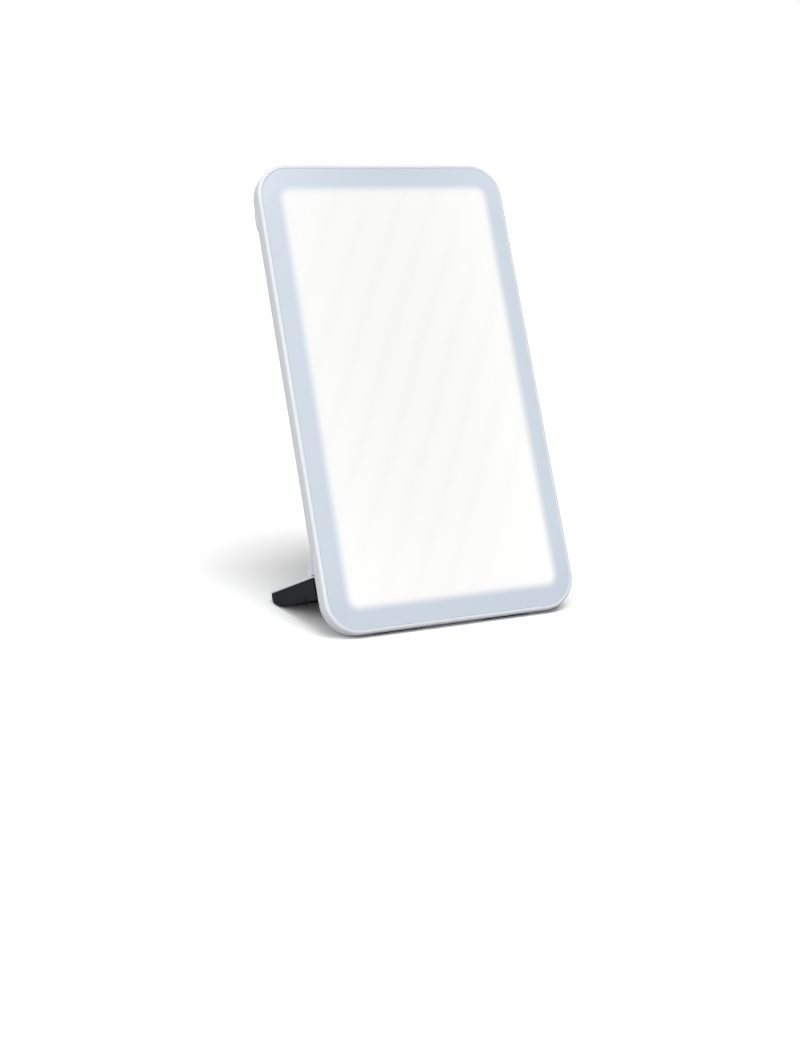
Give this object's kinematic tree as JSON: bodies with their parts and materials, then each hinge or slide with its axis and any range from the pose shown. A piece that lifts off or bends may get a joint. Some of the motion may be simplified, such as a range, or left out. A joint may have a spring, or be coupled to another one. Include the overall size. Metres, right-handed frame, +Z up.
{
  "type": "light therapy lamp",
  "caption": "Slim white light panel that leans back on a full-width fold-out foot, with an edge-lit diffuser, a push button on its left edge and a power inlet in the back.",
  "frame": {"origin": "centre of the bounding box footprint, on the surface that the lamp stands on", "axes": "+Z up; the lit face looks towards -Y and leans back by 23 degrees; +X to the right as seen from the front"},
  "size_m": [0.2062, 0.1536, 0.3337],
  "materials": {
    "white_shell": "satin white moulded plastic",
    "opal_acrylic": "satin opal acrylic, emissive: neutral white light inside a cooler unlit border",
    "clear_acrylic": "polished clear acrylic",
    "white_film": "matt white film",
    "charcoal_shell": "fine-textured charcoal plastic",
    "pad_rubber": "matt dark rubber",
    "sheet_aluminium": "plain mill-finish sheet",
    "screw_steel": "zinc-plated steel",
    "white_board": "white solder mask",
    "green_board": "green solder mask",
    "black_plastic": "black plastic",
    "lead_jacket": "pale flexible jacket",
    "plug_plastic": "natural nylon"
  },
  "bodies": {
    "case": {"front_frame": "white_shell", "diffuser_panel": "opal_acrylic", "diffusion_film": "white_film", "prism_film": "clear_acrylic", "light_guide": "clear_acrylic", "reflector_sheet": "white_film", "back_plate": "sheet_aluminium", "light_strip_left": "white_board", "light_strip_right": "white_board", "strip_rail_left": "sheet_aluminium", "strip_rail_right": "sheet_aluminium", "rear_cover": "white_shell", "base_pad_left": "pad_rubber", "base_pad_right": "pad_rubber", "case_screw_1": "screw_steel", "case_screw_2": "screw_steel", "case_screw_3": "screw_steel", "case_screw_4": "screw_steel", "case_screw_5": "screw_steel", "case_screw_6": "screw_steel", "driver_board": "green_board", "board_screw_1": "screw_steel", "board_screw_2": "screw_steel", "power_socket": "black_plastic", "inductor": "black_plastic", "capacitor_1": "sheet_aluminium", "capacitor_2": "sheet_aluminium", "driver_chip": "black_plastic", "lead_plug_left": "plug_plastic", "lead_plug_right": "plug_plastic", "lead_plug_switch": "plug_plastic", "strip_lead_left": "lead_jacket", "strip_lead_right": "lead_jacket", "switch_board": "green_board", "switch_body": "black_plastic", "switch_lead": "lead_jacket", "hinge_pin_left": "screw_steel", "hinge_pin_right": "screw_steel"},
    "foot": {"foot_top": "white_shell", "foot_sole": "charcoal_shell", "foot_pad": "pad_rubber", "foot_screw_1": "screw_steel", "foot_screw_2": "screw_steel", "foot_screw_3": "screw_steel", "foot_screw_4": "screw_steel", "friction_sleeve_left": "screw_steel", "friction_sleeve_right": "screw_steel"},
    "power_button": {"power_button": "white_shell", "switch_plunger": "black_plastic"}
  },
  "joints": [
    {"name": "foot_hinge", "type": "hinge", "parent": "case", "child": "foot", "pos_m": [0.0001, -0.03428, 0.04339], "axis": [1, 0, 0], "range_deg": [0, 90]},
    {"name": "power_button_slide", "type": "slide", "parent": "case", "child": "power_button", "axis": [1, 0, 0], "range_m": [0, 0.0005], "stiffness_N_per_m": 800}
  ]
}
